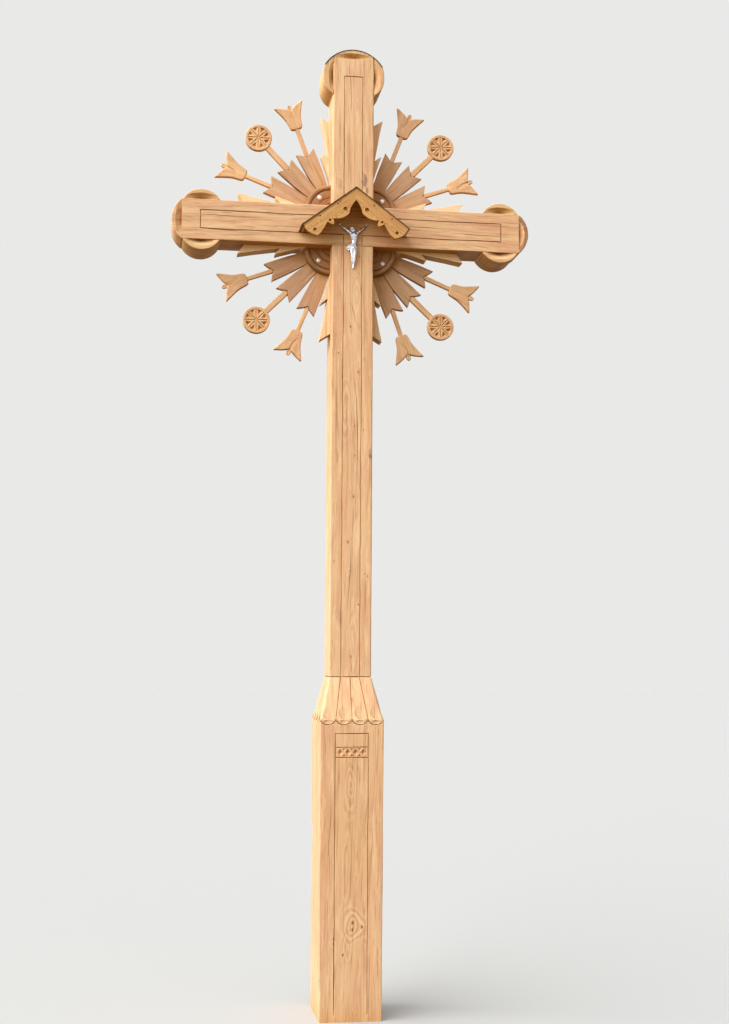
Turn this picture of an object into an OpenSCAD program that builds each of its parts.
// Carved oak wayside cross: a post with a wide plinth, a crossbeam lapped into it,
// a sunburst at mid depth in the four corners and a small gable roof over the crossing.
// Millimetres, +Z up, front faces -Y, the origin is the centre of the foot on the ground.

/* [Post] */
// Width of the shaft seen from the front
shaft_w = 180; // [120:1:260]
// Depth of the shaft and of the crossbeam
beam_d = 170; // [110:1:240]
// Width of the plinth at its top
plinth_w = 268; // [200:1:380]
// Depth of the plinth
plinth_d = 305; // [200:1:400]
// How much narrower the plinth is at the ground, each side
foot_in = 4; // [0:1:20]
// Height of the plinth up to the scallops
plinth_h = 1222; // [700:1:1600]
// Height of the neck line where the shoulder meets the shaft
neck_z = 1397; // [900:1:1900]
// Height of the square line under the top lobe
post_h = 4087; // [3500:1:4600]
// Radius of the rounded top of the post
top_r = 149; // [110:1:260]
// Height of the crown of the rounded top over the square line
top_rise = 40; // [10:1:80]

/* [Crossbeam] */
// Height of the crossbeam
beam_h = 176; // [110:1:240]
// From the square line of the top down to the middle of the crossing
cross_drop = 749; // [500:1:1100]
// From the middle of the cross to the square line of an arm
arm_l = 737; // [500:1:1000]
// How far the end lobe of an arm rises over the square line
end_rise = 43; // [10:1:80]

/* [Lobes and grooves] */
// Length of a side lobe along the beam
lobe_l = 158; // [100:1:220]
// How far a side lobe stands out from the beam
lobe_rise = 45; // [20:1:80]
// Width of the flat rim round the hollow of a lobe
rim_w = 23; // [8:1:40]
// Depth of the hollow of a lobe
hollow_d = 7; // [2:0.5:20]
// Side of the square cutter that makes the V grooves
groove_s = 5; // [2:0.5:10]
// Half the width of the grooved panel on the beams
panel_half = 40; // [20:1:70]
// From the square line of an end to the end of the grooved panel
panel_end = 80; // [30:1:140]
// Half the width of the framed panel on the plinth
frame_half = 69; // [40:1:100]
// From the scallops down to the top of the framed panel
frame_drop = 58; // [20:1:140]
// Height of the lower end of the framed panel over the ground
frame_foot = 60; // [20:1:300]
// From the scallops down to the chip carved band
band_drop = 114; // [80:1:300]
// Height of the chip carved band
band_h = 42; // [20:1:70]
// Depth of the scalloped hollows on the shoulder
flute_depth = 7; // [2:0.5:15]
// Length of the scalloped hollows up the shoulder
flute_len = 107; // [40:1:170]

/* [Sunburst] */
// Radius of the quarter ring blocks
ring_r = 113; // [70:1:150]
// Front face of the ring blocks behind the front of the beams
ring_front = 69; // [20:1:110]
// Thickness of the ring blocks
ring_t = 28; // [12:1:50]
// Width of the round rim of the ring blocks
ring_rim = 24; // [10:1:36]
// Radius at which the bolts sit
bolt_r = 71; // [40:1:90]
// Diameter of the domed bolt heads
bolt_head = 20; // [8:0.5:30]
// Where the rays of a corner meet, from the middle of the cross both ways
fan_o = 62; // [20:1:120]
// Angle between two rays
fan_a = 20.5; // [15:0.5:28]
// Thickness of the ray boards
ray_t = 26; // [12:1:45]
// Length of a ray board to its tips
ray_l = 325; // [220:1:450]
// Width of a ray board across its tips
ray_w = 84; // [40:1:120]
// Depth of the swallow tail cut
tail_cut = 28; // [8:1:50]
// Width of the stem of a rosette
stem_w = 27; // [12:1:45]
// Width of the stem of a tulip
tulip_stem_w = 20; // [10:1:40]
// How far a tulip leans from its ray towards the beam beside it
tulip_lean = 4; // [0:0.5:10]
// Thickness of a stem and its head
stem_t = 22; // [10:1:40]
// Distance of the base of a tulip from the swallow tail
tulip_reach = 124; // [60:1:220]
// Length of a tulip
tulip_l = 120; // [60:1:180]
// Width of a tulip across its tips
tulip_w = 131; // [60:1:180]
// Distance of the middle of a rosette from the meeting point of the rays
rosette_s = 487; // [350:1:650]
// Radius of a rosette
rosette_r = 59; // [30:1:90]
// Distance of the outer tooth tips from the middle of the cross
tooth_far = 495; // [400:1:650]
// Distance of the inner tooth tips from the middle of the cross
tooth_near = 333; // [250:1:380]
// Length of the outer teeth along the beam
tooth_l = 140; // [80:1:158]
// How far the tooth tips stand off the beam
tooth_up = 47; // [20:1:80]
// Thickness of the teeth
tooth_t = 66; // [20:1:110]
// Front face of the teeth behind the front of the beams
tooth_front = 52; // [10:1:100]

/* [Roof] */
// Height of the ridge over the middle of the crossing
roof_up = 142; // [100:1:260]
// Half the span of the roof
roof_half = 230; // [150:1:330]
// Drop from ridge to eaves
roof_drop = 172; // [100:1:240]
// How far the roof stands out from the beams
roof_out = 100; // [50:1:180]
// Thickness of the roof boards
roof_board = 15; // [8:1:30]
// Thickness of the carved bargeboards
barge_t = 16; // [8:1:30]
// Thickness of the sheet metal
sheet_t = 1.5; // [0.8:0.1:4]

/* [Figure] */
// Height of the cast figure from feet to hands
figure_h = 192; // [120:1:260]

/* [Hidden] */
$fn = 96;
eps = 0.01;
// Upper half of a tulip in shares of its length and half its width: cup, tip, side petal, middle petal
tulip_half = [[0, 0.17], [0.01, 0.27], [0.037, 0.34], [0.1, 0.39], [0.233, 0.435], [0.375, 0.505],
  [0.492, 0.59], [0.65, 0.71], [0.79, 0.83], [0.9, 0.93], [0.967, 0.99], [1, 0.985], [0.967, 0.76],
  [0.933, 0.6], [0.892, 0.42], [0.85, 0.27], [0.8, 0.16], [0.9, 0.14], [0.963, 0.1], [0.98, 0]];
fy = -beam_d / 2;
shaft_h2 = shaft_w / 2;
cross_z = post_h - cross_drop;
roof_z = cross_z + roof_up;
shoulder = neck_z - plinth_h;
beam_z0 = cross_z - beam_h / 2;
beam_z1 = cross_z + beam_h / 2;
top_z = post_h + top_rise;
top_c = top_z - top_r;
end_r = (beam_h * beam_h / 4 + end_rise * end_rise) / (2 * end_rise);
lobe_r = (lobe_l * lobe_l / 4 + lobe_rise * lobe_rise) / (2 * lobe_rise);
lobe_in = 5;
slope_f = atan((plinth_d - beam_d) / 2 / shoulder);
slope_s = atan((plinth_w - shaft_w) / 2 / shoulder);
line_lean = atan((plinth_w - shaft_w) / 4 / (shoulder / cos(slope_f)));
flute_tilt = atan(flute_depth / flute_len);
ray_y = fy + ring_front + ring_t;
stem_y = ray_y + (ray_t - stem_t) / 2;
roof_a = atan(roof_drop / roof_half);
roof_y = fy - roof_out;
barge_kx = roof_half / 230;
barge_kz = roof_drop / 172;

// A prism of a drawing in X and Z, standing between two depths
module slab(y0, y1) {
  translate([0, y1, 0]) rotate([90, 0, 0]) linear_extrude(height = y1 - y0) children();
}

// V grooves on a face that looks to -Y: one upright, one level
module vz(x, z0, z1, y) {
  translate([x, y, (z0 + z1) / 2]) rotate([0, 0, 45])
    cube([groove_s, groove_s, z1 - z0 + groove_s], center = true);
}
module vx(z, x0, x1, y) {
  translate([(x0 + x1) / 2, y, z]) rotate([45, 0, 0])
    cube([x1 - x0 + groove_s, groove_s, groove_s], center = true);
}

// Circle segment over a chord, lying along X with the bulge up
module segment(len, rise) {
  r = (len * len / 4 + rise * rise) / (2 * rise);
  intersection() {
    translate([0, rise - r]) circle(r = r);
    translate([-len / 2, 0]) square([len, rise + 1]);
  }
}

// Four scalloped hollows on the shoulder, on the face that looks to -Y
module flutes(width, depth, slope) {
  pitch = width / 4;
  half = pitch / 2 - 1;
  fr = (half * half + flute_depth * flute_depth) / (2 * flute_depth);
  for (i = [0:3]) {
    translate([(i - 1.5) * pitch, -depth / 2, plinth_h])
      rotate([-slope, 0, 0])
        translate([0, flute_depth - fr, 0])
          rotate([flute_tilt, 0, 0])
            translate([0, 0, -0.65 * flute_len]) cylinder(r = fr, h = 1.65 * flute_len);
  }
}

// The solid outline of the post
module post_block() {
  intersection() {
    slab(-plinth_d, plinth_d)
      polygon([[-plinth_w / 2 + foot_in, 0], [plinth_w / 2 - foot_in, 0], [plinth_w / 2, plinth_h],
        [shaft_h2, neck_z], [shaft_h2, top_z + 1], [-shaft_h2, top_z + 1], [-shaft_h2, neck_z],
        [-plinth_w / 2, plinth_h]]);
    rotate([0, 0, 90]) slab(-plinth_w, plinth_w)
      polygon([[-plinth_d / 2, 0], [plinth_d / 2, 0], [plinth_d / 2, plinth_h],
        [beam_d / 2, neck_z], [beam_d / 2, top_z + 1], [-beam_d / 2, top_z + 1],
        [-beam_d / 2, neck_z], [-plinth_d / 2, plinth_h]]);
  }
}

module post() {
  color("peru") difference() {
    post_block();
    // rounded top
    difference() {
      translate([-shaft_w, -beam_d, top_c + top_r / 2]) cube([2 * shaft_w, 2 * beam_d, top_r]);
      translate([0, 0, top_c]) rotate([90, 0, 0]) cylinder(r = top_r, h = 3 * beam_d, center = true);
    }
    // half lap for the crossbeam
    translate([-shaft_w, fy - 1, beam_z0]) cube([2 * shaft_w, beam_d / 2 + 1, beam_h]);
    // hollow of the top lobe, front and back
    for (s = [-1, 1]) {
      translate([0, s * (beam_d / 2), post_h])
        slab(-hollow_d, hollow_d) segment(shaft_w - 16, top_rise - rim_w + 4);
    }
    // grooved panel, front and back
    for (s = [-1, 1]) {
      for (x = [-panel_half, panel_half]) {
        vz(x, cross_z, post_h - panel_end, s * beam_d / 2);
        vz(x, neck_z, cross_z, s * beam_d / 2);
      }
      vx(post_h - panel_end, -panel_half, panel_half, s * beam_d / 2);
      vx(neck_z, -shaft_w, shaft_w, s * beam_d / 2);
    }
    for (s = [-1, 1]) {
      translate([s * shaft_h2, 0, neck_z]) rotate([0, 45, 0])
        cube([groove_s, 2 * beam_d, groove_s], center = true);
    }
    // lines up the shoulder between the scallops
    for (s = [0, 180]) {
      rotate([0, 0, s])
        for (x = [-1, 0, 1]) {
          translate([x * plinth_w / 4, -plinth_d / 2, plinth_h]) rotate([-slope_f, -x * line_lean, 0])
            rotate([0, 0, 45]) translate([0, 0, 0.525 * shoulder])
              cube([groove_s - 1, groove_s - 1, 1.05 * shoulder], center = true);
        }
    }
    // scallops on all four sides
    for (s = [0, 180]) {
      rotate([0, 0, s]) flutes(plinth_w, plinth_d, slope_f);
      rotate([0, 0, s + 90]) flutes(plinth_d, plinth_w, slope_s);
    }
    // framed panel and chip carved band on the plinth
    for (x = [-frame_half, frame_half]) {
      vz(x, frame_foot, plinth_h - frame_drop, -plinth_d / 2);
      vz(x, frame_foot, plinth_h - frame_drop, plinth_d / 2);
    }
    for (z = [frame_drop, band_drop, band_drop + band_h]) {
      vx(plinth_h - z, -frame_half, frame_half, -plinth_d / 2);
    }
    vx(plinth_h - frame_drop, -frame_half, frame_half, plinth_d / 2);
    for (i = [-1.5:1:1.5]) {
      translate([i * frame_half * 0.464, -plinth_d / 2 + 5, plinth_h - band_drop - band_h / 2])
        rotate([90, 0, 0]) cylinder(r1 = 0.5, r2 = band_h * 0.357, h = 5.5, $fn = 4);
    }
  }
}

module crossbeam() {
  color("peru") difference() {
    translate([0, -fy, cross_z]) rotate([90, 0, 0]) linear_extrude(height = beam_d) intersection() {
      square([2 * arm_l + 2 * end_rise + 2, beam_h], center = true);
      union() {
        square([2 * arm_l - 40, beam_h + 2], center = true);
        translate([arm_l + end_rise - end_r, 0]) circle(r = end_r);
        translate([end_r - arm_l - end_rise, 0]) circle(r = end_r);
      }
    }
    // half lap over the post
    translate([-shaft_h2, 0, beam_z0 - 1]) cube([shaft_w, beam_d, beam_h + 2]);
    // hollows of the end lobes, front and back
    for (s = [-1, 1]) {
      for (f = [-1, 1]) {
        translate([s * arm_l, f * beam_d / 2, cross_z]) rotate([0, s * 90, 0])
          slab(-hollow_d, hollow_d) segment(beam_h - 18, end_rise - rim_w);
      }
    }
    // grooved panel on the front
    for (s = [-1, 1]) {
      for (z = [cross_z - panel_half, cross_z + panel_half]) {
        vx(z, s < 0 ? -arm_l + panel_end : panel_half, s < 0 ? -panel_half : arm_l - panel_end, fy);
        vx(z, s < 0 ? -arm_l + panel_end : panel_half, s < 0 ? -panel_half : arm_l - panel_end, -fy);
      }
      vz(s * (arm_l - panel_end), cross_z - panel_half, cross_z + panel_half, fy);
      vz(s * (arm_l - panel_end), cross_z - panel_half, cross_z + panel_half, -fy);
      vz(s * panel_half, cross_z + panel_half, beam_z1 + 1, fy);
      vz(s * panel_half, beam_z0 - 1, cross_z - panel_half, fy);
    }
  }
}

// One side lobe on a face that looks up, its middle at the origin
module side_lobe() {
  difference() {
    slab(fy, -fy) segment(lobe_l, lobe_rise);
    for (f = [-1, 1]) {
      translate([0, f * beam_d / 2, 0])
        slab(-hollow_d, hollow_d) segment(lobe_l - 22, lobe_rise - rim_w);
    }
  }
}

module arm_lobes(s) {
  x = s * (arm_l - lobe_in - lobe_l / 2);
  translate([x, 0, beam_z1]) side_lobe();
  translate([x, 0, beam_z0]) rotate([0, 180, 0]) side_lobe();
}

// The upper pair. Its upper half follows the sheet over the top
module top_lobes() {
  z = post_h - lobe_in - lobe_l / 2;
  color("sandybrown")
    for (s = [-1, 1]) {
      difference() {
        union() {
          translate([s * shaft_h2, 0, z]) rotate([0, s * 90, 0]) slab(fy, -fy) segment(lobe_l, lobe_rise);
          intersection() {
            translate([s * (shaft_h2 + lobe_rise / 2), 0, z + top_r / 2])
              cube([lobe_rise, beam_d, top_r], center = true);
            translate([0, 0, top_c]) rotate([90, 0, 0]) cylinder(r = top_r, h = 2 * beam_d, center = true);
          }
        }
        for (f = [-1, 1]) {
          translate([s * shaft_h2, f * beam_d / 2, z]) rotate([0, s * 90, 0])
            slab(-hollow_d, hollow_d) segment(lobe_l - 22, lobe_rise - rim_w);
        }
      }
    }
}
module left_arm_lobes() {
  color("sandybrown") arm_lobes(-1);
}
module right_arm_lobes() {
  color("sandybrown") arm_lobes(1);
}

module top_cap_sheet() {
  color("dimgray") translate([0, 0, top_c]) difference() {
    rotate([90, 0, 0]) cylinder(r = top_r + sheet_t, h = beam_d + 6, center = true);
    rotate([90, 0, 0]) cylinder(r = top_r, h = beam_d + 3, center = true);
    rotate([90, 0, 0]) cylinder(r = top_r - 2, h = beam_d + 30, center = true);
    translate([-1.5 * top_r, -beam_d, -2 * top_r]) cube([3 * top_r, 2 * beam_d, 2.5235 * top_r]);
  }
}

// Quarter ring block in the corner at the origin, bulging to +X and +Z
module ring_block() {
  difference() {
    rotate([90, 0, 0]) intersection() {
      rotate_extrude() {
        square([ring_r, ring_t - ring_rim / 2]);
        square([ring_r - ring_rim, ring_t - 3]);
        translate([ring_r - ring_rim / 2, ring_t - ring_rim / 2]) circle(r = ring_rim / 2);
      }
      cube([ring_r + 1, ring_r + 1, ring_t + 1]);
    }
    // rings cut in the face
    for (r = [ring_r - ring_rim, ring_r * 0.4815, ring_r * 0.2593]) {
      translate([0, -ring_t - 1, 0]) rotate([-90, 0, 0]) difference() {
        cylinder(r = r + 2, h = 5);
        cylinder(r = r - 2, h = 6);
      }
    }
    // bolt hole
    translate([bolt_r * sin(45), 1, bolt_r * cos(45)]) rotate([90, 0, 0]) cylinder(d = 10, h = ring_t + 2);
  }
}

// Put a drawing made for the upper right corner into another corner
module corner(sx, sz) {
  translate([0, 0, cross_z]) mirror([sx < 0 ? 1 : 0, 0, 0]) mirror([0, 0, sz < 0 ? 1 : 0]) children();
}

module ring_at(sx, sz) {
  color("rosybrown") corner(sx, sz) translate([shaft_h2, ray_y, beam_h / 2]) ring_block();
}
module ring_upper_left() {
  ring_at(-1, 1);
}
module ring_upper_right() {
  ring_at(1, 1);
}
module ring_lower_left() {
  ring_at(-1, -1);
}
module ring_lower_right() {
  ring_at(1, -1);
}

// Through bolt with a domed head, a washer and a nut behind
module one_bolt() {
  o = bolt_r * sin(45);
  translate([shaft_h2 + o, 0, beam_h / 2 + o]) {
    translate([0, ray_y + ray_t + 12, 0]) rotate([90, 0, 0]) cylinder(d = 10, h = ring_t + ray_t + 10);
    translate([0, ray_y - ring_t + 3, 0]) rotate([90, 0, 0]) intersection() {
      translate([0, 0, -bolt_head * 0.35]) sphere(d = bolt_head * 1.25);
      cylinder(d = bolt_head, h = bolt_head);
    }
    translate([0, ray_y + ray_t + 2, 0]) rotate([90, 0, 0]) cylinder(d = 24, h = 2);
    translate([0, ray_y + ray_t + 10, 0]) rotate([90, 0, 0]) cylinder(r = 9.8, h = 8, $fn = 6);
  }
}

module ring_bolts() {
  color("lightgray")
    for (sx = [-1, 1]) {
      for (sz = [-1, 1]) {
        corner(sx, sz) one_bolt();
      }
    }
}

// Outline from the points of its upper half, whose last point may lie on the axis
module mirrored_shape(half) {
  polygon(concat([for (p = half) [p[0], -p[1]]],
    [for (i = [len(half) - 1:-1:0]) if (half[i][1] != 0) half[i]]));
}

// Ray board along +X from the meeting point of the rays
module ray_shape() {
  b = tan(fan_a / 2);
  r0 = ray_l * 0.037;
  r1 = ray_l * 0.385;
  r2 = ray_l * 0.615;
  r3 = ray_l * 0.82;
  mirrored_shape([[r0, r0 * b - 0.4], [r1, r1 * b - 0.4], [r2, ray_w * 0.375], [r3, ray_w * 0.446],
    [ray_l, ray_w / 2], [ray_l - tail_cut, 0]]);
}

module ray_at(sx, sz, k) {
  color("tan") corner(sx, sz) difference() {
    intersection() {
      translate([fan_o, 0, fan_o]) rotate([0, -45 - k * fan_a, 0])
        slab(ray_y, ray_y + ray_t) ray_shape();
      translate([shaft_h2, -beam_d, beam_h / 2]) cube([2 * ray_l, 2 * beam_d, 2 * ray_l]);
    }
    translate([shaft_h2 + bolt_r * sin(45), ray_y - 1, beam_h / 2 + bolt_r * sin(45)])
      rotate([-90, 0, 0]) cylinder(d = 10, h = ray_t + 2);
  }
}
module ray_ul_arm() {
  ray_at(-1, 1, -1);
}
module ray_ul_mid() {
  ray_at(-1, 1, 0);
}
module ray_ul_shaft() {
  ray_at(-1, 1, 1);
}
module ray_ur_arm() {
  ray_at(1, 1, -1);
}
module ray_ur_mid() {
  ray_at(1, 1, 0);
}
module ray_ur_shaft() {
  ray_at(1, 1, 1);
}
module ray_ll_arm() {
  ray_at(-1, -1, -1);
}
module ray_ll_mid() {
  ray_at(-1, -1, 0);
}
module ray_ll_shaft() {
  ray_at(-1, -1, 1);
}
module ray_lr_arm() {
  ray_at(1, -1, -1);
}
module ray_lr_mid() {
  ray_at(1, -1, 0);
}
module ray_lr_shaft() {
  ray_at(1, -1, 1);
}

// Stem from its point in the swallow tail at the origin to the head, leaning off the ray
module stem_shape(reach, w, lean) {
  flank = tail_cut * w / ray_w;
  end = [reach * cos(lean), reach * sin(lean)];
  side = (w / 2 - 1) * [-sin(lean), cos(lean)];
  polygon([[0, 0], [flank, -w / 2], end - side, end + side, [flank, w / 2]]);
}

// Three petalled head, its base at the origin
module tulip_shape() {
  mirrored_shape([for (p = tulip_half) [p[0] * tulip_l, p[1] * tulip_w / 2]]);
}

module tulip_at(sx, sz, k) {
  lean = k * tulip_lean;
  color("burlywood") corner(sx, sz)
    translate([fan_o, 0, fan_o]) rotate([0, -45 - k * fan_a, 0]) translate([ray_l - tail_cut, 0, 0])
      difference() {
        slab(stem_y, stem_y + stem_t) union() {
          stem_shape(tulip_reach + 4, tulip_stem_w, lean);
          rotate(lean) translate([tulip_reach, 0]) tulip_shape();
        }
        // carved lines of the petals
        rotate([0, -lean, 0]) translate([tulip_reach, 0, 0]) {
          for (m = [-1, 1]) {
            translate([0.65 * tulip_l, stem_y, m * tulip_w * 0.1]) rotate([0, -m * 8, 0])
              rotate([45, 0, 0]) translate([-tulip_l * 0.256, 0, 0]) cube([tulip_l * 0.53, 4, 4], center = true);
          }
        }
      }
}
module tulip_ul_arm() {
  tulip_at(-1, 1, -1);
}
module tulip_ul_shaft() {
  tulip_at(-1, 1, 1);
}
module tulip_ur_arm() {
  tulip_at(1, 1, -1);
}
module tulip_ur_shaft() {
  tulip_at(1, 1, 1);
}
module tulip_ll_arm() {
  tulip_at(-1, -1, -1);
}
module tulip_ll_shaft() {
  tulip_at(-1, -1, 1);
}
module tulip_lr_arm() {
  tulip_at(1, -1, -1);
}
module tulip_lr_shaft() {
  tulip_at(1, -1, 1);
}

// Disc with eight triangular chips between eight spokes, on a stem
module rosette_at(sx, sz) {
  color("burlywood") corner(sx, sz)
    translate([fan_o, 0, fan_o]) rotate([0, -45, 0])
      difference() {
        slab(stem_y, stem_y + stem_t) union() {
          translate([ray_l - tail_cut, 0]) stem_shape(rosette_s - rosette_r + 4 - ray_l + tail_cut, stem_w, 0);
          translate([rosette_s, 0]) circle(r = rosette_r);
        }
        for (f = [0, 1]) {
          for (i = [0:7]) {
            translate([rosette_s, f < 1 ? stem_y : stem_y + stem_t, 0]) rotate([0, i * 45 + 22.5, 0])
              translate([rosette_r * 0.6, 0, 0]) rotate([f < 1 ? 90 : -90, 0, 0])
                translate([0, 0, -4]) cylinder(r1 = 0.5, r2 = rosette_r * 0.27, h = 5, $fn = 3);
          }
        }
      }
}
module rosette_ul() {
  rosette_at(-1, 1);
}
module rosette_ur() {
  rosette_at(1, 1);
}
module rosette_ll() {
  rosette_at(-1, -1);
}
module rosette_lr() {
  rosette_at(1, -1);
}

// Two swallow tailed teeth lying on a face that looks up, running along +X
module teeth_pair() {
  n = tooth_near;
  f = tooth_far;
  u = tooth_up;
  l = tooth_l;
  slab(fy + tooth_front, fy + tooth_front + tooth_t) {
    polygon([[n - 0.95 * l, 0], [n - 0.65 * l, u * 0.26], [n - 0.3 * l, u * 0.6], [n, u * 0.87],
      [n - 0.05 * l, u * 0.62], [n - 0.12 * l, u * 0.36], [n - 0.2 * l, 0]]);
    polygon([[n - 0.22 * l, 0], [n - 0.18 * l, u * 0.24], [n + 0.2 * l, u * 0.44], [f - 0.5 * l, u * 0.68],
      [f, u], [f - 0.06 * l, u * 0.66], [f - 0.13 * l, u * 0.34], [f - 0.2 * l, 0]]);
  }
}
module teeth_left() {
  color("tan") for (m = [0, 1]) {
    translate([0, 0, cross_z]) mirror([1, 0, 0]) mirror([0, 0, m]) translate([0, 0, beam_h / 2]) teeth_pair();
  }
}
module teeth_right() {
  color("tan") for (m = [0, 1]) {
    translate([0, 0, cross_z]) mirror([0, 0, m]) translate([0, 0, beam_h / 2]) teeth_pair();
  }
}
module teeth_top() {
  color("tan") for (m = [0, 1]) {
    translate([0, 0, cross_z]) mirror([m, 0, 0]) translate([-shaft_h2, 0, 0]) rotate([0, -90, 0]) teeth_pair();
  }
}
module teeth_bottom() {
  color("tan") for (m = [0, 1]) {
    translate([0, 0, cross_z]) mirror([0, 0, 1]) mirror([m, 0, 0]) translate([-shaft_h2, 0, 0])
      rotate([0, -90, 0]) teeth_pair();
  }
}

// Right half of the roof, seen from the front
module roof_board_right() {
  color("peru") slab(roof_y + barge_t, fy)
    polygon([[0, roof_z], [roof_half, roof_z - roof_drop],
      [roof_half - roof_board * sin(roof_a), roof_z - roof_drop - roof_board * cos(roof_a)],
      [0, roof_z - roof_board / cos(roof_a)]]);
}
module roof_board_left() {
  color("peru") mirror([1, 0, 0]) roof_board_right();
}

// Right bargeboard: ogee arch at the ridge, scallop, volute and a curved blade at the eaves
module barge_shape() {
  polygon([for (p = [[0, 0], [229, 171], [224, 177], [219, 186], [207, 201], [184, 214], [166, 219],
    [151, 205], [135.5, 180.5], [123, 158], [113, 162.5], [102.5, 167.5], [99, 168.5], [94.5, 161],
    [95.5, 151], [98, 142], [75, 141.5], [53.5, 134], [33, 120], [29, 114], [27.5, 106], [23, 91],
    [13.5, 73], [0, 56.5]]) [p[0] * barge_kx, roof_z - p[1] * barge_kz]]);
}
module bargeboard_right() {
  color("goldenrod") difference() {
    slab(roof_y, roof_y + barge_t) barge_shape();
    for (h = [[46.5, 98, 18, 9], [177, 193, 14.5, 9], [112, 149, 11, 9], [78, 77, 5.5, 4], [155, 133, 5.5, 4]]) {
      translate([h[0] * barge_kx, roof_y - 1, roof_z - h[1] * barge_kz])
        rotate([-90, 0, 0]) cylinder(d = h[2], h = h[3]);
    }
  }
}
module bargeboard_left() {
  color("goldenrod") mirror([1, 0, 0]) bargeboard_right();
}

module roof_sheet() {
  x = roof_half + 4;
  e = roof_drop * x / roof_half;
  t = sheet_t / cos(roof_a);
  color("dimgray") {
    slab(roof_y - 6, fy)
      polygon([[0, roof_z], [x, roof_z - e], [x, roof_z - e + t], [0, roof_z + t], [-x, roof_z - e + t],
        [-x - 14, roof_z - e - 20], [-x - 12.5, roof_z - e - 20.5], [-x, roof_z - e]]);
    slab(roof_y - 6, roof_y - 5)
      polygon([[0, roof_z + t], [-x, roof_z - e + t], [-x, roof_z - e - 4], [0, roof_z - 4],
        [x, roof_z - e - 4], [x, roof_z - e + t]]);
  }
}

// Small cast figure with raised arms, held by nails in the hands and feet
module limb(a, b, ra, rb) {
  hull() {
    translate(a) sphere(r = ra, $fn = 16);
    translate(b) sphere(r = rb, $fn = 16);
  }
}
module corpus() {
  k = figure_h / 192;
  color("silver") translate([0, fy, cross_z - 187]) scale(k) {
    limb([-5, -11.5, 84], [-3, -14, 46], 9, 7);
    limb([5, -11.5, 84], [4, -15, 46], 9, 7);
    limb([-3, -14, 46], [-1, -9, 12], 7, 4.5);
    limb([4, -15, 46], [1, -9, 12], 7, 4.5);
    limb([0, -9, 12], [0, -12, 1], 5, 3.5);
    limb([0, -12, 88], [3, -13, 112], 11.5, 10);
    limb([3, -13, 112], [-4, -14, 146], 10, 9);
    limb([3, -13, 112], [9, -14, 146], 10, 9);
    limb([-8, -13, 150], [-34, -10, 170], 6, 4.5);
    limb([-34, -10, 170], [-58, -4.5, 191], 4.5, 3.6);
    limb([13, -13, 150], [38, -10, 170], 6, 4.5);
    limb([38, -10, 170], [60, -4.5, 191], 4.5, 3.6);
    limb([1, -15, 152], [-4, -17, 166], 5, 5);
    limb([-4, -17, 168], [-6, -18, 178], 8, 8.5);
    limb([-7, -12, 94], [9, -12, 92], 10.5, 10.5);
    limb([-9, -12, 93], [-27, -10, 85], 8, 4);
    limb([-27, -10, 85], [-22, -9, 74], 4, 3);
    for (p = [[-58, 191], [60, 191], [0, 6]]) {
      translate([p[0], 0, p[1]]) rotate([90, 0, 0]) cylinder(d = 3, h = 9, $fn = 12);
    }
  }
}

post();
crossbeam();
top_lobes();
left_arm_lobes();
right_arm_lobes();
top_cap_sheet();
ring_upper_left();
ring_upper_right();
ring_lower_left();
ring_lower_right();
ring_bolts();
ray_ul_arm();
ray_ul_mid();
ray_ul_shaft();
ray_ur_arm();
ray_ur_mid();
ray_ur_shaft();
ray_ll_arm();
ray_ll_mid();
ray_ll_shaft();
ray_lr_arm();
ray_lr_mid();
ray_lr_shaft();
tulip_ul_arm();
rosette_ul();
tulip_ul_shaft();
tulip_ur_arm();
rosette_ur();
tulip_ur_shaft();
tulip_ll_arm();
rosette_ll();
tulip_ll_shaft();
tulip_lr_arm();
rosette_lr();
tulip_lr_shaft();
teeth_top();
teeth_bottom();
teeth_left();
teeth_right();
roof_board_left();
roof_board_right();
bargeboard_left();
bargeboard_right();
roof_sheet();
corpus();
